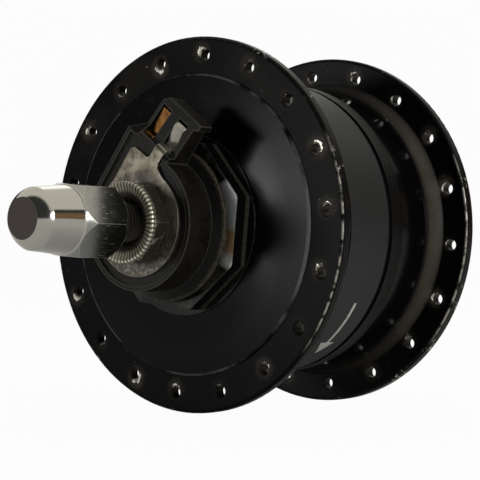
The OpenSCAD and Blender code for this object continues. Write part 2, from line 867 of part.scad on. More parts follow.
// Hexagon locknut with a dished gripping face
module locknut(face) {
    hex_r = locknut_af / 2 / cos(30);
    cone_r = hex_r - grip_h / 3;
    rim_r = grip_d / 2;
    crest_r = rim_r - grip_h / 2;
    mouth_r = thread_r + grip_h;
    bore_r = thread_r + nut_fit;
    dish = grip_h * 0.8;
    translate([0, 0, face - locknut_h])
        intersection() {
            union() {
                rotate([0, 0, locknut_turn]) cylinder(h = locknut_hex_h, r = hex_r, $fn = 6);
                translate([0, 0, locknut_hex_h / 2]) cylinder(h = locknut_h, r = rim_r);
            }
            rotate_extrude()
                polygon([
                    [bore_r, 0], [hex_r + past, 0],
                    [hex_r + past, locknut_hex_h - (hex_r + past - cone_r) * chamfer_run],
                    [cone_r, locknut_hex_h], [cone_r, locknut_h - dish + rim_r - cone_r],
                    [crest_r, locknut_h], [mouth_r, locknut_h - dish],
                    [bore_r, locknut_h - dish - mouth_r + bore_r]
                ]);
        }
}

module right_locknut() {
    color([0.66, 0.6, 0.46]) right() locknut(right_face);
}

module left_locknut() {
    color([0.66, 0.6, 0.46]) left() locknut(left_face);
}

// Closed nut with a hexagon and a long round nose
module cap_nut(face) {
    hex_r = nut_af / 2 / cos(30);
    mid_z = nut_hex_len / 2;
    flat_r = nut_flat_d / 2;
    round_z = nut_len - sqrt(nut_round * nut_round - flat_r * flat_r);
    translate([0, 0, face])
        difference() {
            union() {
                intersection() {
                    rotate([0, 0, nut_turn]) cylinder(h = nut_hex_len, r = hex_r, $fn = 6);
                    rotate_extrude()
                        polygon([
                            [0, 0], [nut_nose_r + 6 * seat_fit, 0], [nut_nose_r + mid_z * chamfer_run, mid_z],
                            [nut_nose_r + 2 * seat_fit, nut_hex_len], [0, nut_hex_len]
                        ]);
                }
                rotate_extrude()
                    difference() {
                        polygon([
                            [0, mid_z], [nut_nose_r, mid_z], [nut_nose_r, nut_hex_len],
                            [nut_nose_r - nut_taper / 2, nut_len], [0, nut_len]
                        ]);
                        difference() {
                            patch([0, round_z], [2 * nut_nose_r, nut_len + past]);
                            translate([0, round_z]) circle(r = nut_round);
                        }
                    }
            }
            translate([0, 0, -past]) cylinder(h = nut_bore_depth + past, r = thread_r + nut_fit);
        }
}

module right_cap_nut() {
    color([0.8, 0.8, 0.82]) right() cap_nut(right_face + fork_gap);
}

module left_cap_nut() {
    color([0.8, 0.8, 0.82]) left() cap_nut(left_face + fork_gap);
}

// Iron core between the claw plates
module stator_core() {
    color([0.45, 0.45, 0.47])
        difference() {
            right() tube(-disc_in, disc_in, sleeve_bore_r, core_r);
            lead_way();
        }
}

// Disc with claws that reach over the winding, drawn outwards
module claw_plate(turn) {
    tube(disc_in, stator_out, sleeve_bore_r, web_r);
    intersection() {
        tube(-disc_in, stator_out, stator_r - claw_t, stator_r);
        claw_prisms(turn);
    }
    intersection() {
        tube(disc_in, stator_out, web_r - past, stator_r);
        claw_prisms(turn);
    }
}

// Tapered prisms, one for each claw
module claw_prisms(turn) {
    for (i = [0 : claw_count - 1])
        rotate([0, 0, turn + i * claw_step])
            rotate([90, 0, 0])
                translate([0, 0, -stator_r - past])
                    linear_extrude(stator_r + past - web_r / 2)
                        polygon([
                            [-claw_root_w / 2, stator_out + past], [claw_root_w / 2, stator_out + past],
                            [claw_tip_w / 2, -disc_in - past], [-claw_tip_w / 2, -disc_in - past]
                        ]);
}

module right_claw_plate() {
    color([0.5, 0.5, 0.53]) right() claw_plate(0);
}

module left_claw_plate() {
    color([0.5, 0.5, 0.53]) left() claw_plate(claw_step / 2);
}

// Flanged bobbin for the winding
module coil_bobbin() {
    hub_r = core_r + coil_gap;
    half = disc_in - coil_gap;
    color([0.85, 0.83, 0.75])
        difference() {
            right()
                rotate_extrude() {
                    patch([hub_r, -half], [hub_r + bobbin_wall, half]);
                    patch([hub_r, half - bobbin_wall], [bobbin_r, half]);
                    patch([hub_r, -half], [bobbin_r, bobbin_wall - half]);
                }
            lead_way();
        }
}

// Copper winding, as the solid ring that it fills
module coil_winding() {
    half = disc_in - bobbin_wall - 2 * coil_gap;
    color([0.7, 0.35, 0.15])
        right() tube(-half, half, core_r + bobbin_wall + 2 * coil_gap, bobbin_r - coil_gap);
}

// Iron ring that closes the magnets' field
module yoke_ring() {
    color([0.4, 0.4, 0.42]) right() tube(-magnet_len / 2, magnet_len / 2, magnet_ro + seat_fit, yoke_ro);
}

// Curved magnet segments
module magnets() {
    color([0.22, 0.22, 0.24])
        right()
            for (i = [0 : magnet_count - 1])
                rotate([0, 0, i * 360 / magnet_count])
                    translate([0, 0, -magnet_len / 2])
                        rotate_extrude(angle = 360 / magnet_count - magnet_gap)
                            patch([magnet_ri, 0], [magnet_ro, magnet_len]);
}

axle();
right_cap_nut();
left_cap_nut();
right_locknut();
left_locknut();
earth_plate();
live_terminal();
connector_body();
right_dust_ring();
left_dust_ring();
left_collar();
right_sleeve();
left_sleeve();
lead_wire();
stator_core();
right_claw_plate();
left_claw_plate();
coil_bobbin();
coil_winding();
hub_shell();
end_cover();
octagon_cup();
yoke_ring();
magnets();
right_inner_race();
right_outer_race();
right_balls();
right_cage();
left_inner_race();
left_outer_race();
left_balls();
left_cage();
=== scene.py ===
import json
import math
from functools import partial

import bmesh
import bpy
from mathutils import Matrix, Vector


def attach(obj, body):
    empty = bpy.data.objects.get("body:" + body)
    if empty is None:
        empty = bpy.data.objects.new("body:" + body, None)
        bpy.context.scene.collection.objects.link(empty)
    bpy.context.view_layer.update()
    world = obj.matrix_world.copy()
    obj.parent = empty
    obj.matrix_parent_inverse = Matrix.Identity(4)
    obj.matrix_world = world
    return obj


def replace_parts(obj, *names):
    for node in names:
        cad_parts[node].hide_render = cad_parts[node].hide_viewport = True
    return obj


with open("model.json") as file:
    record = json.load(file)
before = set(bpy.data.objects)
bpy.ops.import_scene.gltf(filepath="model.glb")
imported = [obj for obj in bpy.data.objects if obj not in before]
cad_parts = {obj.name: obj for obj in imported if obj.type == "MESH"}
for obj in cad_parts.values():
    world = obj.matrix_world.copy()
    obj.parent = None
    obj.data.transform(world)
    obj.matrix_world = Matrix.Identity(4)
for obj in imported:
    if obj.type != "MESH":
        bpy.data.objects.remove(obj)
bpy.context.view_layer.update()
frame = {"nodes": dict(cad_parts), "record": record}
cadNodes = frame["nodes"]
mm = 0.001
hubShift = 1.0 * mm  # the flanges' middle stands this far from the axle's middle
print("stage: frame loaded,", len(cadNodes), "nodes")


# helpers

# settings that many nodes share; a map range takes its value as 0, the range of that as 1 and 2,
# and what it gives at either end as 3 and 4, which are 0 and 1 unless set
smooth = {"interpolation_type": "SMOOTHSTEP"}
product = {"operation": "MULTIPLY"}
larger = {"operation": "MAXIMUM"}
plus = {"operation": "ADD"}
minus = {"operation": "SUBTRACT"}
positive = {"operation": "ABSOLUTE"}
mixColours = {"data_type": "RGBA"}
bevelSamples = 6
noiseRoughness = 0.55


def linear(hexColour):  # sRGB hex to linear RGBA
    parts = [int(hexColour[i:i + 2], 16) / 255 for i in (1, 3, 5)]
    return [p / 12.92 if p <= 0.04045 else ((p + 0.055) / 1.055) ** 2.4 for p in parts] + [1.0]


def perMetre(sizeMm):  # texture scale for a pattern whose cells are this many mm wide
    return 1000.0 / sizeMm


# adds a node to a tree, links or sets its inputs (a hex is a colour) and gives back one of its outputs
def add(tree, kind, inputs=None, out=0, **settings):
    made = tree.nodes.new("ShaderNode" + kind)
    for name, value in settings.items():
        setattr(made, name, value)
    for key, value in (inputs or {}).items():
        if isinstance(value, bpy.types.NodeSocket):
            tree.links.new(value, made.inputs[key])
        else:
            made.inputs[key].default_value = linear(value) if isinstance(value, str) else value
    return made.outputs[out] if made.outputs else made


# empty material, add for its tree, the place on the piece, and its grains, each given as (mm wide, detail)
def newMaterial(name, grains):
    material = bpy.data.materials.new(name)
    material.use_nodes = True
    material.node_tree.nodes.clear()
    put = partial(add, material.node_tree)
    place = put("TexCoord", out="Object")
    grain = {key: put("TexNoise", {
        "Vector": place, "Scale": perMetre(size), "Detail": detail, "Roughness": noiseRoughness,
    }) for key, (size, detail) in grains.items()}
    return material, put, place, grain


def finishMaterial(put, inputs):  # principled surface from sockets and values
    put("OutputMaterial", {"Surface": put("BsdfPrincipled", inputs)})


def polar(put, place):  # distance from the axle, degrees from straight up, and place along the axle
    x, y, z = put("SeparateXYZ", {0: place}).node.outputs
    radius = put("VectorMath", {0: put("CombineXYZ", {0: x, 2: z})}, "Value", operation="LENGTH")
    angle = put("Math", {0: x, 1: z}, operation="ARCTAN2")
    return radius, put("Math", {0: angle}, operation="DEGREES"), y


def edgeWear(put, widthMm, grain, low, high):  # mask of rubbed outer edges, broken up by a grain
    eased = put("Bevel", {"Radius": widthMm * mm}, samples=bevelSamples)
    match = put("VectorMath", {0: eased, 1: put("NewGeometry", out="Normal")}, "Value", operation="DOT_PRODUCT")
    bent = put("Math", {0: 1.0, 1: match}, **minus)
    broken = put("Math", {0: bent, 1: put("MapRange", {0: grain, 3: 0.2, 4: 1.8})}, **product)
    return put("MapRange", {0: broken, 1: low, 2: high}, **smooth)


def softNormal(put, radiusMm, height, distanceMm, strength):  # eased edges with fine bumps on top
    eased = put("Bevel", {"Radius": radiusMm * mm}, samples=bevelSamples)
    return put("Bump", {"Height": height, "Distance": distanceMm * mm, "Strength": strength, "Normal": eased})


# materials

# satin black anodised aluminium, turned: deep black, chipped to bare metal at hole mouths and rims, plus a
# painted highlight line on the flange edges
shellLook = {
    "black": "#070709", "band": "#1f2224", "dust": "#6e685d", "soil": "#665e52", "bare": "#c4c0b6",
    "sheen": 0.12, "faceSheen": 0.055, "bandSheen": 0.3,
    "grains": {"cloud": (14.0, 4.0), "fine": (0.7, 2.0), "speck": (0.45, 1.0), "ragged": (1.0, 3.0),
               "knocks": (9.0, 2.0), "nicks": (1.1, 3.0), "rubs": (2.4, 4.0)},
    "spokeRadius": 40.0, "spokeStep": 20.0, "rightTurn": 6.5, "leftTurn": -3.5, "holeRadius": 1.3,
    "rimRadius": 43.7, "bandLow": -21.0, "bandHigh": 3.95, "flangeMiddle": 26.0, "mouthFrom": 1.15,
    "frontFace": -26.3, "topDustAndLight": 0.1,
    "highlightFrom": 62.0, "highlightTo": 134.0, "highlightRadius": 43.85, "highlightAcross": 1.37,
    "shoulderEnd": 9.95, "drumRadius": 36.4,
    "flareStart": 20.0, "flareEnd": 25.4, "flareTop": 36.9, "flareFrom": 15.0, "flareTo": 150.0,
}


# masks of chips and of soil round the spoke holes, by chance for each hole
def holeChips(put, look, grain, radius, degrees, onLeft):
    firstHole = put("MapRange", {0: onLeft, 3: look["rightTurn"], 4: look["leftTurn"]})
    fromFirst = put("Math", {0: degrees, 1: firstHole}, **minus)
    halfStep = look["spokeStep"] / 2
    fromHole = put("Math", {0: fromFirst, 1: halfStep, 2: -halfStep}, operation="WRAP")
    number = put("Math", {0: put("Math", {0: fromFirst, 1: fromHole}, **minus), 1: onLeft}, **plus)
    chance = put("TexWhiteNoise", {"W": number}, "Color", noise_dimensions="1D")
    chance = put("SeparateColor", {0: chance}).node.outputs
    # distance from the edge of the ragged chip, which sits a little to one side of its hole
    sideways = put("Math", {0: fromHole, 1: math.radians(look["spokeRadius"]) * mm}, **product)
    sideways = put("Math", {0: sideways, 1: put("MapRange", {0: chance[0], 3: 0.1 * mm, 4: 1.4 * mm})}, **plus)
    outwards = put("Math", {0: radius, 1: look["spokeRadius"] * mm}, **minus)
    outwards = put("Math", {0: outwards, 1: put("MapRange", {0: chance[1], 3: -1.1 * mm, 4: 1.1 * mm})}, **plus)
    apart = put("VectorMath", {0: put("CombineXYZ", {0: sideways, 1: outwards})}, "Value", operation="LENGTH")
    apart = put("Math", {0: apart, 1: put("MapRange", {0: grain["ragged"], 3: -0.8 * mm, 4: 0.8 * mm})}, **plus)
    chipSize = {0: chance[2], 3: (look["holeRadius"] - 0.55) * mm, 4: (look["holeRadius"] + 0.1) * mm}
    apart = put("Math", {0: apart, 1: put("MapRange", chipSize)}, **minus)
    chipped = put("MapRange", {0: apart, 1: -0.1 * mm, 2: 0.2 * mm, 3: 1.0, 4: 0.0}, **smooth)
    soiled = put("MapRange", {0: apart, 1: 0.2 * mm, 2: 2.2 * mm, 3: 1.0, 4: 0.0}, **smooth)
    soilShare = put("MapRange", {0: chance[2], 1: 0.3, 2: 0.8, 3: 0.25}, **smooth)
    return chipped, put("Math", {0: soiled, 1: soilShare}, **product)


def makeShell(name, look):
    material, put, place, grain = newMaterial(name, look["grains"])
    radius, degrees, along = polar(put, place)
    onLeft = put("MapRange", {0: along, 1: 0.0, 2: 1.0 * mm}, **smooth)
    fromHub = put("Math", {0: put("Math", {0: along, 1: hubShift}, **minus)}, **positive)
    fromMiddle = put("Math", {0: put("Math", {0: fromHub, 1: look["flangeMiddle"] * mm}, **minus)}, **positive)
    # metal shows in chips at the hole mouths, in nicks that come in a few places of the rims, and in lone specks
    chipped, soiled = holeChips(put, look, grain, radius, degrees, onLeft)
    for limits in ({0: fromMiddle, 1: look["mouthFrom"] * mm, 2: (look["mouthFrom"] + 0.15) * mm},
                   {0: grain["fine"], 1: 0.34, 2: 0.5}):
        chipped = put("Math", {0: chipped, 1: put("MapRange", limits, **smooth)}, **product)
    nick = put("MapRange", {0: radius, 1: look["rimRadius"] * mm, 2: (look["rimRadius"] + 0.35) * mm}, **smooth)
    for limits in ({0: grain["knocks"], 1: 0.56, 2: 0.64}, {0: grain["nicks"], 1: 0.55, 2: 0.6}):
        nick = put("Math", {0: nick, 1: put("MapRange", limits, **smooth)}, **product)
    lone = put("MapRange", {0: grain["speck"], 1: 0.77, 2: 0.8}, **smooth)
    lone = put("Math", {0: lone, 1: put("MapRange", {0: grain["cloud"], 1: 0.5, 2: 0.6}, **smooth)}, **product)
    # a thin bare-metal line along each flange's rounded edge on the connector side, over a stretch of the rim on
    # one side, is a painted highlight
    beyond = put("MapRange", {
        0: fromHub, 1: (look["flangeMiddle"] - 0.1) * mm, 2: (look["flangeMiddle"] + 0.1) * mm}, **smooth)
    rubbed = put("Math", {0: put("Math", {0: beyond, 1: onLeft}, **minus)}, **positive)
    across = put("Math", {0: put("Math", {0: fromMiddle, 1: look["highlightAcross"] * mm}, **minus)}, **positive)
    for limits in ({0: across, 1: 0.08 * mm, 2: 0.22 * mm, 3: 0.75, 4: 0.0},
                   {0: radius, 1: look["highlightRadius"] * mm, 2: (look["highlightRadius"] + 0.1) * mm},
                   {0: degrees, 1: look["highlightFrom"], 2: look["highlightFrom"] + 12.0},
                   {0: degrees, 1: look["highlightTo"] - 14.0, 2: look["highlightTo"], 3: 1.0, 4: 0.0},
                   {0: grain["rubs"], 1: 0.38, 2: 0.56}):
        rubbed = put("Math", {0: rubbed, 1: put("MapRange", limits, **smooth)}, **product)
    # bare metal is the chips, nicks and specks, together with that painted highlight line
    bare = chipped
    for mask in (nick, lone, rubbed):
        bare = put("Math", {0: bare, 1: mask}, **larger)
    # the band is a paler satin, and the drum beyond it is polished
    onDrum = put("MapRange", {
        0: radius, 1: look["drumRadius"] * mm, 2: (look["drumRadius"] + 0.2) * mm, 3: 1.0, 4: 0.0}, **smooth)
    inBand = onDrum
    for limits in ({0: along, 1: look["bandLow"] * mm, 2: (look["bandLow"] + 0.1) * mm},
                   {0: along, 1: look["bandHigh"] * mm, 2: (look["bandHigh"] + 0.05) * mm, 3: 1.0, 4: 0.0}):
        inBand = put("Math", {0: inBand, 1: put("MapRange", limits, **smooth)}, **product)
    polished = put("Math", {0: onDrum, 1: put("MapRange", {
        0: along, 1: look["shoulderEnd"] * mm, 2: (look["shoulderEnd"] + 0.1) * mm}, **smooth)}, **product)
    # dust lies in the far flange's corner and, thinly, on the front face, heavier towards its top as painted
    # light from above
    inCorner = put("MapRange", {
        0: along, 1: look["flareStart"] * mm, 2: (look["flareStart"] + 2.5) * mm}, **smooth)
    for limits in (
            {0: along, 1: (look["flareEnd"] + 0.1) * mm, 2: (look["flareEnd"] + 0.3) * mm, 3: 1.0, 4: 0.0},
            {0: radius, 1: look["flareTop"] * mm, 2: (look["flareTop"] + 1.3) * mm, 3: 1.0, 4: 0.0},
            {0: degrees, 1: look["flareFrom"], 2: look["flareFrom"] + 40.0, 3: 0.3},
            {0: degrees, 1: look["flareTo"] - 45.0, 2: look["flareTo"], 3: 1.0, 4: 0.3}):
        inCorner = put("Math", {0: inCorner, 1: put("MapRange", limits, **smooth)}, **product)
    for limits in ({0: grain["cloud"], 3: 0.2}, {0: grain["fine"], 3: 0.45, 4: 0.95}):
        inCorner = put("Math", {0: inCorner, 1: put("MapRange", limits)}, **product)
    grit = put("MapRange", {0: grain["fine"], 3: 0.1})
    fromTop = put("Math", {0: degrees}, **positive)
    onFace = put("MapRange", {
        0: along, 1: look["frontFace"] * mm, 2: (look["frontFace"] + 1.0) * mm, 3: 1.0, 4: 0.0}, **smooth)
    onTop = put("Math", {0: onFace, 1: put("MapRange", {0: grit, 4: look["topDustAndLight"]})}, **product)
    # the share falls away from the top: painted light from above, laid as dust
    for limits in ({0: fromTop, 1: 30.0, 2: 110.0, 3: 1.0, 4: 0.2}, {0: grain["cloud"], 1: 0.35, 2: 0.7}):
        onTop = put("Math", {0: onTop, 1: put("MapRange", limits, **smooth)}, **product)
    dusty = put("Math", {0: inCorner, 1: onTop}, **larger)
    soiled = put("Math", {0: soiled, 1: put("MapRange", {0: grit, 4: 0.6})}, **product)
    colour = look["black"]
    for mask, added in ((inBand, "band"), (dusty, "dust"), (soiled, "soil"), (bare, "bare")):
        colour = put("Mix", {0: mask, 6: colour, 7: look[added]}, 2, **mixColours)
    satin = put("MapRange", {0: inBand, 3: 0.34, 4: 0.5})
    for limits in ({0: polished, 4: -0.22}, {0: grain["cloud"], 3: -0.03, 4: 0.05}, {0: dusty, 4: 0.3}):
        satin = put("Math", {0: satin, 1: put("MapRange", limits)}, **plus)
    gloss = put("Math", {0: put("MapRange", {0: onFace, 3: look["sheen"], 4: look["faceSheen"]}),
                         1: put("MapRange", {0: inBand, 4: look["bandSheen"]})}, **larger)
    finishMaterial(put, {
        "Base Color": colour, "Metallic": bare, "Roughness": satin, "Specular IOR Level": gloss,
        "Normal": softNormal(put, 0.25, grain["fine"], 0.01, 0.3),
    })
    return material


# black paint over a turned aluminium cover: one soft sheen, a rim rubbed in patches with a painted highlight
# along one side, and faint dust specks
coverLook = {
    "black": "#050507", "haze": "#08080b", "dust": "#57544d", "rubbed": "#8b8c8a", "sheen": 0.105,
    "grains": {"cloud": (18.0, 4.0), "grit": (0.5, 2.0), "speck": (0.8, 1.0), "patches": (6.0, 3.0)},
    "rimRadius": 35.0, "highlightFrom": 66.0, "highlightTo": 126.0, "smoothTo": 24.0, "hazeFrom": 32.0,
}


def makeCover(name, look):
    material, put, place, grain = newMaterial(name, look["grains"])
    radius, degrees, _ = polar(put, place)
    # the rim is rubbed in patches all round, and the stronger stretch on one side is a painted highlight
    rubbed = put("MapRange", {0: degrees, 1: look["highlightFrom"], 2: look["highlightFrom"] + 15.0}, **smooth)
    rubEnd = put("MapRange", {0: degrees, 1: look["highlightTo"] - 15.0, 2: look["highlightTo"], 3: 0.9, 4: 0.0}, **smooth)
    rubbed = put("Math", {0: rubbed, 1: rubEnd}, **product)
    patches = put("MapRange", {0: grain["patches"], 1: 0.42, 2: 0.62, 4: 0.6}, **smooth)
    rubbed = put("Math", {0: rubbed, 1: patches}, **larger)
    onRim = put("MapRange", {0: radius, 1: look["rimRadius"] * mm, 2: (look["rimRadius"] + 0.3) * mm}, **smooth)
    rubbed = put("Math", {0: rubbed, 1: onRim}, **product)
    rubbed = put("Math", {0: rubbed, 1: put("MapRange", {0: grain["grit"], 3: 0.24, 4: 0.72})}, **product)
    speck = put("Math", {0: put("MapRange", {0: grain["speck"], 1: 0.74, 2: 0.77, 4: 0.6}, **smooth),
                         1: put("MapRange", {0: grain["cloud"], 1: 0.45, 2: 0.6}, **smooth)}, **product)
    hazy = put("Math", {0: grain["cloud"], 1: grain["grit"]}, **product)
    colour = look["black"]
    for mask, added in ((hazy, "haze"), (rubbed, "rubbed"), (speck, "dust")):
        colour = put("Mix", {0: mask, 6: colour, 7: look[added]}, 2, **mixColours)
    # handled smooth round the cup, hazier towards the rim
    outer = put("MapRange", {0: radius, 1: look["smoothTo"] * mm, 2: look["hazeFrom"] * mm, 4: 0.1}, **smooth)
    satin = put("Math", {0: put("MapRange", {0: grain["cloud"], 3: 0.16, 4: 0.22}), 1: outer}, **plus)
    finishMaterial(put, {
        "Base Color": colour, "Roughness": satin, "Specular IOR Level": look["sheen"],
        "Normal": softNormal(put, 0.3, grain["grit"], 0.012, 0.55),
    })
    return material


# black oxide steel cup: glossy flats, and a front face that shows bare metal on one side, a painted reflection,
# with rust in its middle
cupLook = {
    "black": "#070708", "bare": "#dfe5e8", "rust": "#b08a52", "haze": "#3d3b34", "sheen": 0.24,
    "grains": {"cloud": (5.0, 3.0), "scuff": (0.9, 3.0), "edges": (1.4, 3.0)},
    "frontAt": -33.2, "baseAt": -28.7,
    "reflectionFrom": 58.0, "reflectionTo": 124.0, "rustFrom": 92.0, "rustTo": 113.0,
}


def makeCup(name, look):
    material, put, place, grain = newMaterial(name, look["grains"])
    _, degrees, along = polar(put, place)
    onFront = put("MapRange", {
        0: along, 1: (look["frontAt"] + 0.02) * mm, 2: (look["frontAt"] + 0.12) * mm, 3: 1.0, 4: 0.0}, **smooth)
    # a painted reflection: bare metal on one side of the front, less at its edges, with rust in the middle of
    # that
    inside = put("MapRange", {0: edgeWear(put, 0.5, grain["edges"], 0.03, 0.12), 3: 1.0, 4: 0.3})
    bright = put("Math", {0: onFront, 1: inside}, **product)
    for limits in ({0: degrees, 1: look["reflectionFrom"], 2: look["reflectionFrom"] + 6.0},
                   {0: degrees, 1: look["reflectionTo"] - 6.0, 2: look["reflectionTo"], 3: 1.0, 4: 0.0},
                   {0: grain["cloud"], 1: 0.2, 2: 0.36}):
        bright = put("Math", {0: bright, 1: put("MapRange", limits, **smooth)}, **product)
    rusty = put("MapRange", {0: grain["scuff"], 3: 0.7})
    for limits in ({0: degrees, 1: look["rustFrom"], 2: look["rustFrom"] + 6.0},
                   {0: degrees, 1: look["rustTo"] - 4.0, 2: look["rustTo"] + 4.0, 3: 1.0, 4: 0.15}):
        rusty = put("Math", {0: rusty, 1: put("MapRange", limits, **smooth)}, **product)
    # dust lies on the edges, along the foot and in patches of the front
    edge = edgeWear(put, 0.5, grain["edges"], 0.05, 0.25)
    edge = put("Math", {0: edge, 1: put("MapRange", {0: grain["scuff"], 1: 0.45, 2: 0.62}, **smooth)}, **product)
    foot = put("MapRange", {0: along, 1: (look["baseAt"] - 1.5) * mm, 2: (look["baseAt"] - 1.1) * mm}, **smooth)
    footEnd = {0: along, 1: (look["baseAt"] - 0.1) * mm, 2: look["baseAt"] * mm, 3: 1.0, 4: 0.0}
    foot = put("Math", {0: foot, 1: put("MapRange", footEnd, **smooth)}, **product)
    patches = put("MapRange", {0: grain["cloud"], 1: 0.45, 2: 0.65}, **smooth)
    dusty = put("Math", {0: onFront, 1: patches}, **product)
    for mask in (edge, foot):
        dusty = put("Math", {0: dusty, 1: mask}, **larger)
    dusty = put("Math", {0: dusty, 1: put("MapRange", {0: grain["scuff"], 3: 0.3, 4: 0.9})}, **product)
    black = put("Mix", {0: dusty, 6: look["black"], 7: look["haze"]}, 2, **mixColours)
    metal = put("Mix", {0: rusty, 6: look["bare"], 7: look["rust"]}, 2, **mixColours)
    roughness = put("Math", {0: put("MapRange", {0: grain["scuff"], 3: 0.2, 4: 0.36}),
                             1: put("MapRange", {0: bright, 4: 0.42})}, **larger)
    finishMaterial(put, {
        "Base Color": put("Mix", {0: bright, 6: black, 7: metal}, 2, **mixColours),
        "Metallic": put("MapRange", {0: bright, 4: 0.8}), "Roughness": roughness,
        "Specular IOR Level": look["sheen"], "Normal": softNormal(put, 0.35, grain["scuff"], 0.012, 0.35),
    })
    return material


# black moulded nylon: fine spark texture, edges rubbed grey, dust where asked
mouldingLook = {
    "black": "#050505", "haze": "#0b0b0b", "rubbed": "#5c5b55", "dust": "#756a57", "sheen": 0.16,
    "grains": {"cloud": (5.0, 3.0), "spark": (0.28, 2.0), "grit": (0.32, 3.0), "edges": (1.6, 3.0)},
}


def makeMoulding(name, look, dustShare, dustFrom, satin):
    material, put, place, grain = newMaterial(name, look["grains"])
    radius = polar(put, place)[0]
    lodged = put("MapRange", {0: radius, 1: dustFrom * mm, 2: (dustFrom + 0.5) * mm, 4: dustShare}, **smooth)
    for limits in ({0: grain["grit"], 1: 0.4, 2: 0.66}, {0: grain["cloud"], 1: 0.36, 2: 0.6, 3: 0.3}):
        lodged = put("Math", {0: lodged, 1: put("MapRange", limits, **smooth)}, **product)
    edge = put("MapRange", {0: edgeWear(put, 0.7, grain["edges"], 0.02, 0.16), 4: 0.7})
    colour = look["black"]
    for mask, added in ((grain["cloud"], "haze"), (edge, "rubbed"), (lodged, "dust")):
        colour = put("Mix", {0: mask, 6: colour, 7: look[added]}, 2, **mixColours)
    finishMaterial(put, {
        "Base Color": colour, "Specular IOR Level": look["sheen"],
        "Roughness": put("MapRange", {0: grain["cloud"], 3: satin - 0.05, 4: satin + 0.08}),
        "Normal": softNormal(put, 0.3, grain["spark"], 0.015, 0.4),
    })
    return material


# chromed steel nut: mirror bright nose, scratched flats, edges lightened as a painted highlight, and a turned
# end left dull brown
chromeLook = {
    "chrome": "#bdbcb6", "scratched": "#a3a49f", "rubbed": "#e4e3dd", "pit": "#6f5a44", "dull": "#31261f",
    "grains": {"cloud": (3.5, 3.0), "fine": (0.35, 3.0), "edges": (1.5, 3.0)},
    "scratchWidth": 0.3, "flatAt": 80.4, "hexEnd": 69.1,
}


def makeChrome(name, look):
    material, put, place, grain = newMaterial(name, look["grains"])
    reach = put("Math", {0: polar(put, place)[2]}, **positive)
    drawn = put("Mapping", {"Vector": place, "Rotation": (0.6, 0.3, 0.5), "Scale": (1.0, 0.12, 1.0)})
    scratch = put("TexNoise", {
        "Vector": drawn, "Scale": perMetre(look["scratchWidth"]), "Detail": 4.0, "Roughness": 0.7})
    onFlat = put("MapRange", {
        0: reach, 1: (look["flatAt"] - 0.06) * mm, 2: (look["flatAt"] - 0.02) * mm}, **smooth)
    onHex = put("MapRange", {
        0: reach, 1: (look["hexEnd"] - 0.6) * mm, 2: look["hexEnd"] * mm, 3: 1.0, 4: 0.0}, **smooth)
    scuffed = put("Math", {0: onHex, 1: put("MapRange", {0: scratch, 1: 0.46, 2: 0.72}, **smooth)}, **product)
    pit = put("Math", {0: put("MapRange", {0: grain["fine"], 1: 0.68, 2: 0.72, 4: 0.7}, **smooth),
                       1: put("MapRange", {0: grain["cloud"], 1: 0.5, 2: 0.7}, **smooth)}, **product)
    offFlat = put("MapRange", {0: onFlat, 3: 1.0, 4: 0.0})
    # edges lighten towards the pale edge colour: a painted highlight
    edge = put("Math", {0: edgeWear(put, 0.3, grain["edges"], 0.03, 0.12), 1: offFlat}, **product)
    colour = look["chrome"]
    for mask, added in ((onHex, "scratched"), (edge, "rubbed"), (pit, "pit"), (onFlat, "dull")):
        colour = put("Mix", {0: mask, 6: colour, 7: look[added]}, 2, **mixColours)
    roughness = put("MapRange", {0: grain["cloud"], 3: 0.08, 4: 0.17})
    for mask, most in ((scuffed, 0.32), (onHex, 0.12), (onFlat, 0.5), (edge, 0.45)):
        roughness = put("Math", {0: roughness, 1: put("MapRange", {0: mask, 4: most})}, **larger)
    finishMaterial(put, {
        "Base Color": colour, "Metallic": put("MapRange", {0: onFlat, 3: 1.0, 4: 0.25}), "Roughness": roughness,
        "Normal": softNormal(put, 0.3, scratch, 0.008, 0.3),
    })
    return material


# yellow zinc plated steel: pale straw metal on the teeth and corners, brown grime everywhere else
zincLook = {
    "zinc": "#eeebd6", "grime": "#2b241b",
    "grains": {"cloud": (2.6, 4.0), "fine": (0.4, 2.0), "edges": (1.5, 3.0)},
    "teeth": 56, "teethFrom": 48.3, "teethRadius": 7.6, "rimRadius": 9.27,
}


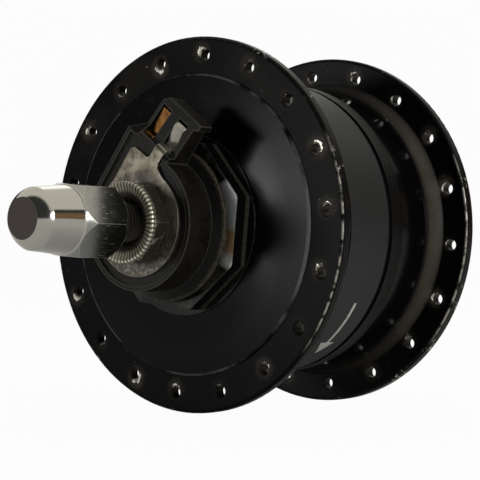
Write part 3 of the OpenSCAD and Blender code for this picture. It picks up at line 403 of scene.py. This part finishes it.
def makeZinc(name, look):
    material, put, place, grain = newMaterial(name, look["grains"])
    radius, degrees, along = polar(put, place)
    reach = put("Math", {0: along}, **positive)
    # the teeth's crests are clean, and grime stays in the valleys between them
    count = put("Math", {0: degrees, 1: look["teeth"] / 360}, **product)
    fromCrest = put("Math", {0: put("Math", {0: count, 1: 0.5, 2: -0.5}, operation="WRAP")}, **positive)
    clean = put("MapRange", {0: fromCrest, 1: 0.14, 2: 0.4, 3: 1.0, 4: 0.12}, **smooth)
    for limits in ({0: reach, 1: look["teethFrom"] * mm, 2: (look["teethFrom"] + 0.7) * mm},
                   {0: radius, 1: (look["teethRadius"] - 1.2) * mm, 2: look["teethRadius"] * mm},
                   {0: radius, 1: (look["rimRadius"] - 0.06) * mm, 2: look["rimRadius"] * mm, 3: 1.0, 4: 0.3}):
        clean = put("Math", {0: clean, 1: put("MapRange", limits, **smooth)}, **product)
    edge = put("MapRange", {0: edgeWear(put, 0.25, grain["edges"], 0.05, 0.2), 4: 0.7})
    clean = put("Math", {0: clean, 1: edge}, **larger)
    stain = put("Math", {0: put("MapRange", {0: grain["fine"], 1: 0.56, 2: 0.68}, **smooth),
                         1: put("MapRange", {0: grain["cloud"], 1: 0.4, 2: 0.6}, **smooth)}, **product)
    clean = put("Math", {0: clean, 1: put("MapRange", {0: stain, 3: 1.0, 4: 0.35})}, **product)
    patches = put("MapRange", {0: grain["cloud"], 1: 0.56, 2: 0.74, 4: 0.45}, **smooth)
    clean = put("Math", {0: clean, 1: patches}, **larger)
    finishMaterial(put, {
        "Base Color": put("Mix", {0: clean, 6: look["grime"], 7: look["zinc"]}, 2, **mixColours),
        "Metallic": put("MapRange", {0: clean, 3: 0.2, 4: 0.75}),
        "Roughness": put("MapRange", {0: clean, 3: 0.55, 4: 0.3}),
        "Normal": softNormal(put, 0.12, grain["fine"], 0.006, 0.25),
    })
    return material


# oily dark steel thread with a little bare metal on its crests
threadLook = {"oil": "#1d1a17", "steel": "#8a857b", "grains": {"cloud": (2.0, 3.0), "edges": (1.0, 3.0)}}


def makeThread(name, look):
    material, put, _, grain = newMaterial(name, look["grains"])
    worn = put("MapRange", {0: grain["cloud"], 1: 0.4, 2: 0.62}, **smooth)
    crest = put("Math", {0: edgeWear(put, 0.12, grain["edges"], 0.05, 0.3), 1: worn}, **product)
    finishMaterial(put, {
        "Base Color": put("Mix", {0: crest, 6: look["oil"], 7: look["steel"]}, 2, **mixColours),
        "Metallic": put("MapRange", {0: crest, 3: 0.35}),
        "Roughness": put("MapRange", {0: grain["cloud"], 3: 0.32, 4: 0.5}),
        "Normal": softNormal(put, 0.08, grain["cloud"], 0.01, 0.3),
    })
    return material


# dull nickel plated sheet steel: brown freckles, grime and painted shade round the nut, bright where it was cut
# and folded
nickelLook = {
    "nickel": "#8c8678", "shade": "#585245", "freckle": "#1f1912", "bright": "#c6c3bb",
    "grains": {"cloud": (5.0, 4.0), "spots": (0.8, 3.0), "edges": (1.6, 3.0)},
    "scratchWidth": 0.5, "grimeAndShadeRadius": 10.0, "plateFace": -44.0,
}


def makeNickel(name, look):
    material, put, place, grain = newMaterial(name, look["grains"])
    radius, degrees, along = polar(put, place)
    rolled = put("Mapping", {"Vector": place, "Rotation": (0.0, 0.6, 0.0), "Scale": (1.0, 1.0, 0.12)})
    scratch = put("TexNoise", {"Vector": rolled, "Scale": perMetre(look["scratchWidth"]), "Detail": 3.0})
    # freckles come in clouds and darken the lower part; round the nut they are grime and painted shade together
    freckle = put("Math", {0: put("MapRange", {0: grain["spots"], 1: 0.54, 2: 0.62}, **smooth),
                           1: put("MapRange", {0: grain["cloud"], 1: 0.42, 2: 0.58}, **smooth)}, **product)
    fromTop = put("Math", {0: degrees}, **positive)
    below = put("Math", {0: put("MapRange", {0: fromTop, 1: 85.0, 2: 125.0, 4: 0.95}, **smooth),
                         1: put("MapRange", {0: grain["spots"], 1: 0.34, 2: 0.56}, **smooth)}, **product)
    nearNut = put("MapRange", {0: grain["spots"], 3: 0.4})
    for limits in ({0: radius, 1: look["grimeAndShadeRadius"] * mm, 2: (look["grimeAndShadeRadius"] + 2.8) * mm, 3: 1.0, 4: 0.0},
                   {0: grain["cloud"], 1: 0.3, 2: 0.55, 3: 0.35}):
        nearNut = put("Math", {0: nearNut, 1: put("MapRange", limits, **smooth)}, **product)
    for mask in (below, nearNut):
        freckle = put("Math", {0: freckle, 1: mask}, **larger)
    folded = {0: along, 1: (look["plateFace"] - 0.4) * mm, 2: (look["plateFace"] + 0.2) * mm}
    folded = put("MapRange", folded, **smooth)
    edge = edgeWear(put, 0.35, grain["edges"], 0.06, 0.3)
    bright = put("Math", {0: put("MapRange", {0: edge, 4: 0.85}),
                          1: put("MapRange", {0: folded, 4: 0.55})}, **larger)
    shaded = put("MapRange", {0: grain["cloud"], 1: 0.35, 2: 0.65}, **smooth)
    spotted = put("MapRange", {0: freckle, 4: 0.9})
    colour = look["nickel"]
    for mask, added in ((shaded, "shade"), (spotted, "freckle"), (bright, "bright")):
        colour = put("Mix", {0: mask, 6: colour, 7: look[added]}, 2, **mixColours)
    roughness = put("Math", {0: put("MapRange", {0: scratch, 3: 0.3, 4: 0.5}),
                             1: put("MapRange", {0: folded, 3: 1.0, 4: 0.5})}, **product)
    finishMaterial(put, {
        "Base Color": colour, "Metallic": put("MapRange", {0: freckle, 3: 0.85, 4: 0.2}), "Roughness": roughness,
        "Normal": softNormal(put, 0.15, scratch, 0.008, 0.5),
    })
    return material


# tarnished copper strip: warm brown, drawn lengthways, with bright cut edges
copperLook = {
    "copper": "#74502c", "tarnish": "#4b3019", "bright": "#c98a5c",
    "grains": {"cloud": (1.8, 4.0), "edges": (1.2, 3.0)}, "drawnWidth": 0.3,
}


def makeCopper(name, look):
    material, put, place, grain = newMaterial(name, look["grains"])
    rolled = put("Mapping", {"Vector": place, "Rotation": (0.0, 0.65, 0.0), "Scale": (1.0, 1.0, 0.15)})
    drawn = put("TexNoise", {"Vector": rolled, "Scale": perMetre(look["drawnWidth"]), "Detail": 3.0})
    tarnished = put("MapRange", {0: grain["cloud"], 1: 0.38, 2: 0.66}, **smooth)
    edge = edgeWear(put, 0.3, grain["edges"], 0.04, 0.2)
    colour = look["copper"]
    for mask, added in ((tarnished, "tarnish"), (edge, "bright")):
        colour = put("Mix", {0: mask, 6: colour, 7: look[added]}, 2, **mixColours)
    finishMaterial(put, {
        "Base Color": colour, "Metallic": put("MapRange", {0: edge, 3: 1.0, 4: 0.6}),
        "Roughness": put("MapRange", {0: drawn, 3: 0.25, 4: 0.45}),
        "Normal": softNormal(put, 0.12, drawn, 0.008, 0.5),
    })
    return material


# plain metals and plastics of the closed inside, by the frame's own slots
innerLook = {
    "soft_iron": {"name": "softIron", "low": "#5d5d60", "high": "#7a7a7c",
                  "metal": 1.0, "rough": (0.4, 0.6), "grain": 1.2},
    "bearing_steel": {"name": "bearingSteel", "low": "#a8a8aa", "high": "#c4c4c6",
                      "metal": 1.0, "rough": (0.1, 0.2), "grain": 0.8},
    "plain_steel": {"name": "plainSteel", "low": "#8f8c86", "high": "#aaa7a0",
                    "metal": 1.0, "rough": (0.28, 0.42), "grain": 0.9},
    "bobbin_plastic": {"name": "bobbinNylon", "low": "#d2cdb8", "high": "#e0dbc8",
                       "metal": 0.0, "rough": (0.42, 0.56), "grain": 1.5},
    "enamelled_copper": {"name": "enamelledCopper", "low": "#8a4a20", "high": "#a86030",
                         "metal": 0.8, "rough": (0.25, 0.4), "grain": 0.5},
    "magnet_grey": {"name": "sinteredFerrite", "low": "#3a3a3d", "high": "#4a4a4d",
                    "metal": 0.3, "rough": (0.5, 0.65), "grain": 0.6},
    "lead_insulation": {"name": "redVinyl", "low": "#a8261c", "high": "#b8322a",
                        "metal": 0.0, "rough": (0.3, 0.42), "grain": 1.0},
}


def makeInner(look):
    material, put, _, grain = newMaterial(look["name"], {"only": (look["grain"], 3.0)})
    finishMaterial(put, {
        "Base Color": put("Mix", {0: grain["only"], 6: look["low"], 7: look["high"]}, 2, **mixColours),
        "Metallic": look["metal"],
        "Roughness": put("MapRange", {0: grain["only"], 3: look["rough"][0], 4: look["rough"][1]}),
        "Normal": softNormal(put, 0.1, grain["only"], 0.008, 0.4),
    })
    return material


# pale grey pad print, thin and a little rubbed
printLook = {"ink": "#c2c2bd", "rubbed": "#6e6f6c", "grains": {"rub": (0.9, 4.0)}}


def makePrint(name, look):
    material, put, _, grain = newMaterial(name, look["grains"])
    rubbed = put("MapRange", {0: grain["rub"], 1: 0.58, 2: 0.7}, **smooth)
    finishMaterial(put, {
        "Base Color": put("Mix", {0: rubbed, 6: look["ink"], 7: look["rubbed"]}, 2, **mixColours),
        "Roughness": put("MapRange", {0: grain["rub"], 3: 0.42, 4: 0.58}),
    })
    return material


finish = {
    "hub_shell": makeShell("anodisedAluminium", shellLook),
    "end_cover": makeCover("paintedAluminium", coverLook),
    "octagon_cup": makeCup("blackOxideSteel", cupLook),
    "connector_body": makeMoulding("mouldedNylon", mouldingLook, 0.1, 0.0, 0.42),
    "right_dust_ring": makeMoulding("dustyNylon", mouldingLook, 0.55, 17.35, 0.44),
    "right_cap_nut": makeChrome("chromedSteel", chromeLook),
    "right_locknut": makeZinc("yellowZincSteel", zincLook),
    "axle": makeThread("oiledSteelThread", threadLook),
    "earth_plate": makeNickel("nickelSheet", nickelLook),
    "live_terminal": makeCopper("tarnishedCopper", copperLook),
}
finish["left_dust_ring"] = finish["right_dust_ring"]
finish["left_collar"] = finish["connector_body"]
finish["left_cap_nut"] = finish["right_cap_nut"]
finish["left_locknut"] = finish["right_locknut"]
innerFinish = {slot: makeInner(look) for slot, look in innerLook.items()}
for part in frame["record"]["subparts"]:
    node = part["node"]
    look = finish.get(node) or innerFinish[part["material_slot"]]
    cadNodes[node].data.materials.clear()
    cadNodes[node].data.materials.append(look)
print("stage: materials set on the frame")


# pieces

def finishPiece(bm, name, material, body):  # mesh object at the origin, riding on its body
    bmesh.ops.recalc_face_normals(bm, faces=bm.faces)
    mesh = bpy.data.meshes.new(name)
    bm.to_mesh(mesh)
    bm.free()
    piece = bpy.data.objects.new(name, mesh)
    bpy.context.scene.collection.objects.link(piece)
    mesh.materials.append(material)
    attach(piece, body)
    return piece


def smoothBelow(piece, degrees):  # smooth shading with sharp edges above an angle
    for face in piece.data.polygons:
        face.use_smooth = True
    piece.data.set_sharp_from_angle(angle=math.radians(degrees))


def turned(bm, profile, steps):  # ring spun about the axle from points (radius, along), in mm
    verts = [bm.verts.new((r * mm, u * mm, 0)) for r, u in profile]
    edges = [bm.edges.new((verts[i], verts[(i + 1) % len(verts)])) for i in range(len(verts))]
    bmesh.ops.spin(bm, geom=verts + edges, cent=(0, 0, 0), axis=(0, 1, 0), angle=2 * math.pi, steps=steps,
                   use_merge=True, use_duplicate=False)
    bmesh.ops.remove_doubles(bm, verts=bm.verts, dist=1e-7)


# locknut with a dished face of rolled teeth; places along the axle run outwards to the fork's face
locknutForm = {
    "face": 50.0, "flats": 17.0, "hexHeight": 3.9, "height": 5.2, "cornerEase": 0.43, "easeSlope": 0.577,
    "rim": 9.3, "rimDrop": 0.62, "roundIn": 0.17, "roundDrop": 0.2, "crest": 8.75,
    "mouth": 5.8, "mouthDrop": 1.25, "bore": 4.55, "dish": 1.04,
    "teeth": 56, "toothDepth": 0.3, "turn": 58.0, "stepsPerTooth": 4,
}


def makeLocknut(name, side, form, material):
    corner = form["flats"] / 2 / math.cos(math.radians(30))
    cone = corner - form["cornerEase"]
    top = form["hexHeight"]
    height = form["height"]
    slope = form["dish"] / (form["crest"] - form["mouth"])
    rows = [top - (corner - cone) * form["easeSlope"] * share for share in (1.0, 0.66, 0.33, 0.0)]
    dishRows = [form["mouth"] + (form["crest"] - form["mouth"]) * share for share in (0.85, 0.55, 0.25)]
    profile = [(form["bore"], 0.0), (corner, 0.0)] + [(corner, row) for row in rows]
    profile += [(form["rim"], top + 0.02), (form["rim"], height - form["rimDrop"])]
    profile += [(form["rim"] - form["roundIn"], height - form["roundDrop"]), (form["crest"], height)]
    profile += [(r, height - slope * (form["crest"] - r)) for r in dishRows]
    low = height - form["dish"]
    profile += [(form["mouth"], low), (form["bore"], low - form["mouthDrop"])]
    bm = bmesh.new()
    turned(bm, profile, form["teeth"] * form["stepsPerTooth"])
    for vert in bm.verts:
        radius = math.hypot(vert.co.x, vert.co.z) / mm
        along = vert.co.y / mm
        angle = math.degrees(math.atan2(vert.co.z, vert.co.x))
        if along < top + 0.01 and radius > form["rim"]:
            # hexagon with corners eased by a cone
            toFlat = (angle - form["turn"] + 30) % 60 - 30
            hexRadius = form["flats"] / 2 / math.cos(math.radians(30 - abs(toFlat)))
            coneRadius = cone + (top - along) / form["easeSlope"]
            scale = min(hexRadius, coneRadius) / radius
            vert.co.x *= scale
            vert.co.z *= scale
        elif form["mouth"] - 0.01 < radius < form["rim"] - 0.01 and along > top:
            # rolled teeth, deepest at the crest and running out towards the bore and over the rim
            phase = (angle / 360 * form["teeth"]) % 1
            share = min((radius - form["mouth"]) / (form["crest"] - form["mouth"]), 1)
            vert.co.y -= (0.5 - abs(phase - 0.5)) * 2 * form["toothDepth"] * (0.2 + 0.8 * share) * mm
    for vert in bm.verts:
        vert.co.y = side * ((form["face"] - height) * mm + vert.co.y)
    piece = finishPiece(bm, name, material, "axle_set")
    smoothBelow(piece, 24)
    return piece


for name, node, side in (("serratedLocknutRight", "right_locknut", -1),
                         ("serratedLocknutLeft", "left_locknut", 1)):
    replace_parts(makeLocknut(name, side, locknutForm, finish[node]), node)
print("stage: locknuts")


# axle with rolled threads at both ends; the lead's groove is hidden inside
axleForm = {
    "length": 140.0, "middle": 5.0, "rightMiddle": -43.9, "leftMiddle": 43.9, "chamfer": 0.8,
    "root": 3.95, "crest": 4.5, "pitch": 1.0, "stepsPerTurn": 36,
    "toothHalf": 0.46, "crestHalf": 0.06, "sunk": 0.05, "runIn": 0.2, "runOut": 0.6,
}


def makeAxle(form, material):
    bm = bmesh.new()
    half = form["length"] / 2
    threadEnd = half - form["chamfer"]
    profile = [
        (form["root"] - form["chamfer"], -half), (form["root"], -threadEnd),
        (form["root"], form["rightMiddle"]), (form["middle"], form["rightMiddle"]),
        (form["middle"], form["leftMiddle"]), (form["root"], form["leftMiddle"]),
        (form["root"], threadEnd), (form["root"] - form["chamfer"], half),
    ]
    verts = [bm.verts.new((r * mm, u * mm, 0)) for r, u in profile]
    edges = [bm.edges.new((verts[i], verts[i + 1])) for i in range(len(verts) - 1)]
    bmesh.ops.spin(bm, geom=verts + edges, cent=(0, 0, 0), axis=(0, 1, 0), angle=2 * math.pi,
                   steps=form["stepsPerTurn"], use_merge=True, use_duplicate=False)
    bmesh.ops.holes_fill(bm, edges=[e for e in bm.edges if e.is_boundary], sides=0)
    # one ridge for each end, wound from the plain middle to the chamfer
    for start, end in ((form["rightMiddle"] - form["runIn"], form["runOut"] - threadEnd),
                       (form["leftMiddle"] + form["runIn"], threadEnd - form["runOut"])):
        turns = abs(end - start) / form["pitch"]
        steps = int(turns * form["stepsPerTurn"])
        tooth = form["pitch"] * form["toothHalf"]
        foot = form["root"] - form["sunk"]
        corners = [(foot, start - tooth), (form["crest"], start - form["crestHalf"]),
                   (form["crest"], start + form["crestHalf"]), (foot, start + tooth)]
        verts = [bm.verts.new((r * mm, u * mm, 0)) for r, u in corners]
        edges = [bm.edges.new((verts[i], verts[(i + 1) % 4])) for i in range(4)]
        bmesh.ops.spin(bm, geom=verts + edges, cent=(0, 0, 0), axis=(0, 1, 0), angle=2 * math.pi * turns,
                       steps=steps, dvec=(0, (end - start) / steps * mm, 0),
                       use_merge=False, use_duplicate=False)
        bmesh.ops.holes_fill(bm, edges=[e for e in bm.edges if e.is_boundary], sides=4)
    piece = finishPiece(bm, "threadedAxle", material, "axle_set")
    smoothBelow(piece, 30)
    return piece


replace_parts(makeAxle(axleForm, finish["axle"]), "axle")
print("stage: axle")


# plain arrow printed on the band, from its tail to its tip in degrees from straight up
arrowForm = {
    "radius": 36.03, "along": -2.5, "tail": 121.0, "headBase": 141.0, "tip": 148.4,
    "tailWidth": 1.0, "headWidth": 5.4, "tailSteps": 16, "headSteps": 8,
}


def makeArrow(form, material):
    bm = bmesh.new()
    for start, end, width, steps in ((form["tail"], form["headBase"], form["tailWidth"], form["tailSteps"]),
                                     (form["headBase"], form["tip"], form["headWidth"], form["headSteps"])):
        turn = math.radians(start)
        rim = Vector((math.sin(turn) * form["radius"] * mm, 0, math.cos(turn) * form["radius"] * mm))
        verts = [bm.verts.new(rim + Vector((0, (form["along"] + s * width / 2) * mm, 0))) for s in (-1, 0, 1)]
        edges = [bm.edges.new((verts[i], verts[i + 1])) for i in (0, 1)]
        bmesh.ops.spin(bm, geom=verts + edges, cent=(0, 0, 0), axis=(0, 1, 0), angle=math.radians(end - start),
                       steps=steps, use_merge=False, use_duplicate=False)
    middle = form["along"] * mm
    for vert in bm.verts:
        angle = math.degrees(math.atan2(vert.co.x, vert.co.z))
        if angle > form["headBase"] + 0.01 or abs(vert.co.y - middle) > form["tailWidth"] * mm:
            share = (form["tip"] - angle) / (form["tip"] - form["headBase"])
            vert.co.y = middle + (vert.co.y - middle) * max(share, 0.01)
    bmesh.ops.remove_doubles(bm, verts=bm.verts, dist=1e-6)
    return finishPiece(bm, "printedArrow", material, "hub_rotor")


makeArrow(arrowForm, makePrint("padPrint", printLook))
print("stage: arrow")


# stage

stageForm = {
    "floorAt": -44.7, "floorSize": 3.0, "pale": "#e2e2e0", "paler": "#e8e8e6", "grains": {"floor": (40.0, 2.0)},
    "white": {"Is Camera Ray": 0.96, "Is Glossy Ray": 0.15, "Is Transmission Ray": 0.96},
}


def makeStage(form):
    material, put, _, grain = newMaterial("paleStudioFloor", form["grains"])
    path = put("LightPath").node.outputs
    white = 0.0
    for ray, share in form["white"].items():
        white = put("Math", {0: white, 1: put("MapRange", {0: path[ray], 4: share})}, **larger)
    colour = put("Mix", {0: grain["floor"], 6: form["pale"], 7: form["paler"]}, 2, **mixColours)
    plain = put("BsdfDiffuse", {"Color": colour})
    glow = put("Emission", {"Color": (1, 1, 1, 1), "Strength": 1.0})
    put("OutputMaterial", {"Surface": put("MixShader", {0: white, 1: plain, 2: glow})})
    bm = bmesh.new()
    bmesh.ops.create_grid(bm, x_segments=1, y_segments=1, size=form["floorSize"])
    bmesh.ops.translate(bm, verts=bm.verts, vec=(0, 0, form["floorAt"] * mm))
    mesh = bpy.data.meshes.new("studioFloor")
    bm.to_mesh(mesh)
    bm.free()
    mesh.materials.append(material)
    sheet = bpy.data.objects.new("studioFloor", mesh)
    bpy.context.scene.collection.objects.link(sheet)


makeStage(stageForm)

lamps = {
    "keyLamp": {"at": (0.97, -0.16, 0.14), "size": 0.5, "watts": 3.4},
    "windowLamp": {"at": (-0.39, -0.82, 0.07), "size": 0.23, "watts": 1.65},
    "backLamp": {"at": (-0.62, 0.74, 0.42), "size": 0.8, "watts": 1.4},
}
for name, lamp in lamps.items():
    data = bpy.data.lights.new(name, "AREA")
    data.shape = "DISK"
    data.size = lamp["size"]
    data.energy = lamp["watts"]
    light = bpy.data.objects.new(name, data)
    light.location = lamp["at"]
    light.rotation_euler = (-Vector(lamp["at"])).to_track_quat("-Z", "Y").to_euler()
    bpy.context.scene.collection.objects.link(light)

# plain dim room, white where the camera looks, with a pale ceiling at the back and a brown card below it
roomForm = {
    "grey": "#a3a4a6", "strength": 0.12, "cameraWhite": 0.975,
    "ceiling": "#e4e0d5", "ceilingStrength": 1.0, "ceilingFrom": 0.4, "backFrom": -0.4,
    "card": "#997a58", "cardStrength": 0.8, "cardAt": (0.62, 0.78, 0.15), "cardSpread": 0.93,
    "cardLow": 0.04, "cardTop": 0.26,
}


def makeRoom(name, form):
    world = bpy.data.worlds.new(name)
    world.use_nodes = True
    world.node_tree.nodes.clear()
    put = partial(add, world.node_tree)
    outlook = put("TexCoord", out="Generated")
    _, back, height = put("SeparateXYZ", {0: outlook}).node.outputs
    towards = put("VectorMath", {0: outlook, 1: form["cardAt"]}, "Value", operation="DOT_PRODUCT")
    onCard = put("MapRange", {0: towards, 1: form["cardSpread"], 2: form["cardSpread"] + 0.01}, **smooth)
    for limits in ({0: height, 1: form["cardLow"], 2: form["cardLow"] + 0.03},
                   {0: height, 1: form["cardTop"], 2: form["cardTop"] + 0.02, 3: 1.0, 4: 0.0}):
        onCard = put("Math", {0: onCard, 1: put("MapRange", limits, **smooth)}, **product)
    onCeiling = put("MapRange", {0: height, 1: form["ceilingFrom"], 2: form["ceilingFrom"] + 0.03}, **smooth)
    atBack = put("MapRange", {0: back, 1: form["backFrom"], 2: form["backFrom"] + 0.15}, **smooth)
    onCeiling = put("Math", {0: onCeiling, 1: atBack}, **product)
    colour = form["grey"]
    for mask, added in ((onCard, "card"), (onCeiling, "ceiling")):
        colour = put("Mix", {0: mask, 6: colour, 7: form[added]}, 2, **mixColours)
    strength = put("Math", {0: put("MapRange", {0: onCard, 3: form["strength"], 4: form["cardStrength"]}),
                            1: put("MapRange", {0: onCeiling, 4: form["ceilingStrength"]})}, **larger)
    room = put("Background", {"Color": colour, "Strength": strength})
    white = put("Background", {"Color": (1, 1, 1, 1), "Strength": form["cameraWhite"]})
    seen = put("LightPath", out="Is Camera Ray")
    put("OutputWorld", {"Surface": put("MixShader", {0: seen, 1: room, 2: white})})
    return world


bpy.context.scene.world = makeRoom("studioRoom", roomForm)
bpy.context.scene.view_settings.view_transform = "Standard"

# camera, from the photograph's own perspective
cameraForm = {
    "at": (249.23, -314.88, -12.07), "forward": (-0.62986, 0.77640, 0.02211),
    "lens": 121.0, "sensor": 36.0, "clipStart": 0.01,
}
forward = Vector(cameraForm["forward"]).normalized()
rightwards = forward.cross(Vector((0, 0, 1))).normalized()
upwards = rightwards.cross(forward)
cameraData = bpy.data.cameras.new("photoCamera")
cameraData.lens = cameraForm["lens"]
cameraData.sensor_width = cameraForm["sensor"]
cameraData.clip_start = cameraForm["clipStart"]
camera = bpy.data.objects.new("photoCamera", cameraData)
turn = Matrix((rightwards, upwards, -forward)).transposed().to_4x4()
camera.matrix_world = Matrix.Translation(Vector(cameraForm["at"]) * mm) @ turn
bpy.context.scene.collection.objects.link(camera)
bpy.context.scene.camera = camera
print("stage: floor, lamps and camera")
